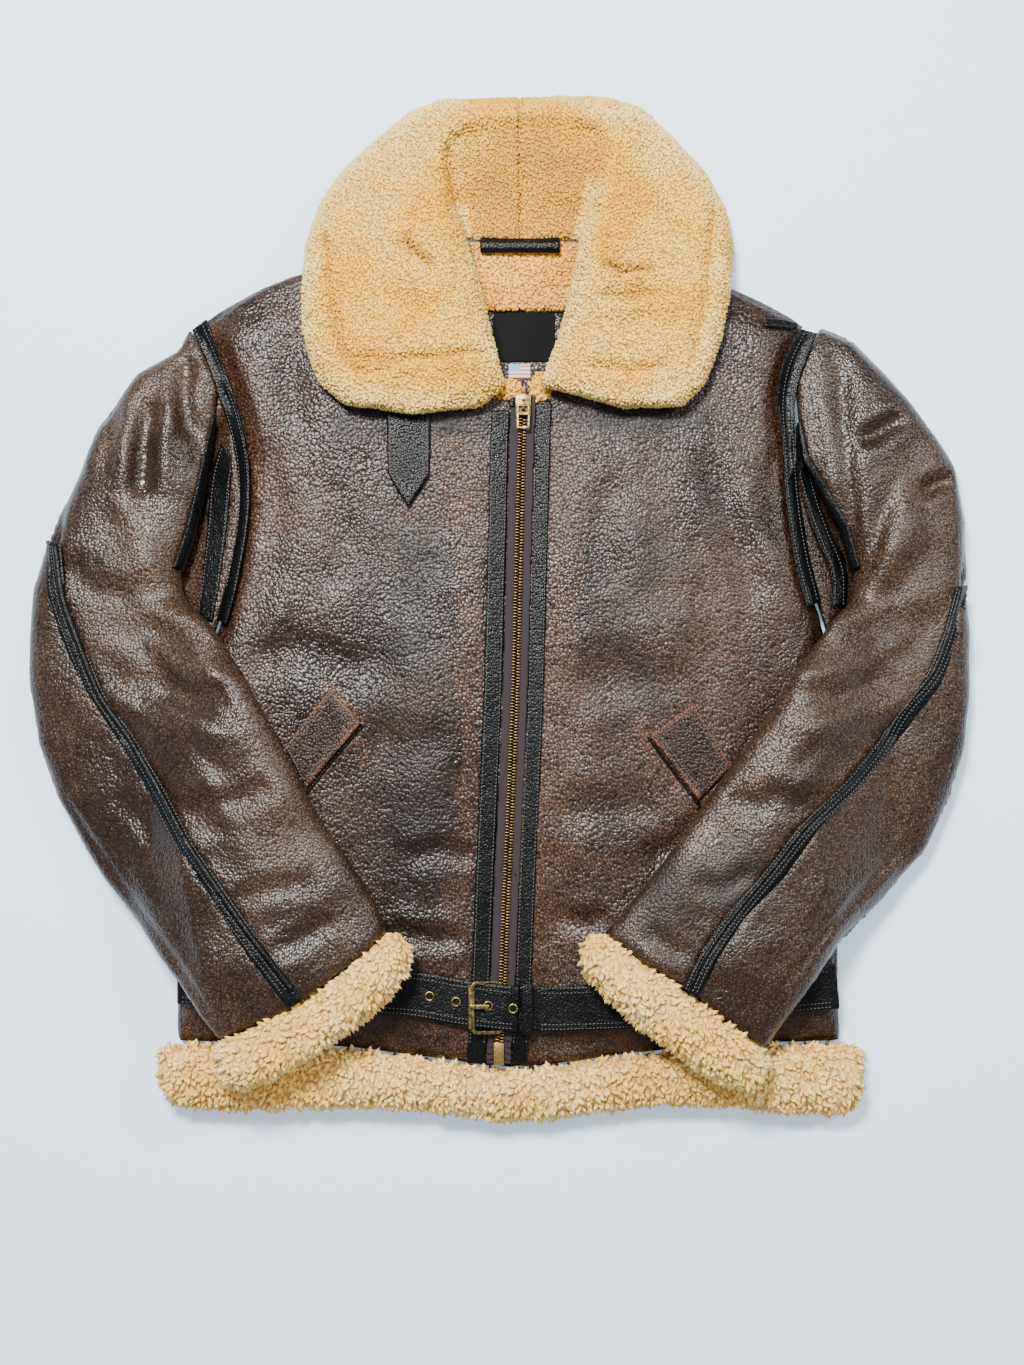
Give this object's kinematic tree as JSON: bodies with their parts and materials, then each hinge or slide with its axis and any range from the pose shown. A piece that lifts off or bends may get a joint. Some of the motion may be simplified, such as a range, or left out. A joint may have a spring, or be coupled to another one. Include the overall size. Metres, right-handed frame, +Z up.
{
  "type": "sheepskin flying jacket",
  "caption": "Sheepskin flying jacket laid flat, sleeves folded over the zipped fronts: brown hide panels, black strapped seams, wide fleece collar, fleece cuffs and hem, buckled waist belt.",
  "frame": {"origin": "centre of the overall box, on the surface that the jacket lies on", "axes": "+X towards the wearer's left, +Y towards the collar, +Z up off the surface"},
  "size_m": [0.7892, 0.869, 0.0953],
  "materials": {
    "hide": "glossy pebbled brown hide, worn reddish at the edges",
    "sleeve_hide": "brown hide with a fine dark crackle",
    "black_leather": "smooth black leather, stitched",
    "fleece": "dense honey sheepskin fleece",
    "cream_fleece": "cream sheepskin fleece in tufts",
    "brass": "antique brass, rubbed",
    "gold": "antique gold brass",
    "zip_tape": "woven purple-brown tape",
    "label": "black woven label, plain",
    "flag": "small woven flag tab"
  },
  "bodies": {
    "jacket": {"back_hem": "cream_fleece", "back_panel": "hide", "belt_eyelet_1": "brass", "belt_eyelet_2": "brass", "belt_eyelet_3": "brass", "belt_eyelet_4": "brass", "belt_keeper": "black_leather", "belt_left": "black_leather", "belt_right": "black_leather", "buckle_frame": "brass", "buckle_prong": "brass", "flag_tab": "flag", "hanger_loop": "black_leather", "left_armhole_strap": "black_leather", "left_collar": "fleece", "left_cuff": "cream_fleece", "left_front": "hide", "left_gusset": "hide", "left_gusset_strap": "black_leather", "left_hem": "cream_fleece", "left_pocket_welt": "hide", "left_shoulder_strap": "black_leather", "left_sleeve_head_strap": "black_leather", "left_sleeve_strap": "black_leather", "left_top_sleeve": "sleeve_hide", "left_under_sleeve": "sleeve_hide", "left_zip_facing": "black_leather", "left_zip_tape": "zip_tape", "neck_label": "label", "right_armhole_strap": "black_leather", "right_collar": "fleece", "right_cuff": "cream_fleece", "right_front": "hide", "right_gusset": "hide", "right_gusset_strap": "black_leather", "right_hem": "cream_fleece", "right_pocket_welt": "hide", "right_sleeve_head_strap": "black_leather", "right_sleeve_strap": "black_leather", "right_top_sleeve": "sleeve_hide", "right_under_sleeve": "sleeve_hide", "right_zip_facing": "black_leather", "right_zip_tape": "zip_tape", "throat_tab": "black_leather", "zip_box": "gold", "zip_chain": "gold", "zip_slider": "brass", "zip_stop_flap": "zip_tape"},
    "zip_pull": {"zip_pull": "brass"}
  },
  "joints": [
    {"name": "pull_swing", "type": "hinge", "parent": "jacket", "child": "zip_pull", "pos_m": [0.02026, 0.16642, 0.04352], "axis": [-1, 0, 0], "range_deg": [0, 150]}
  ]
}
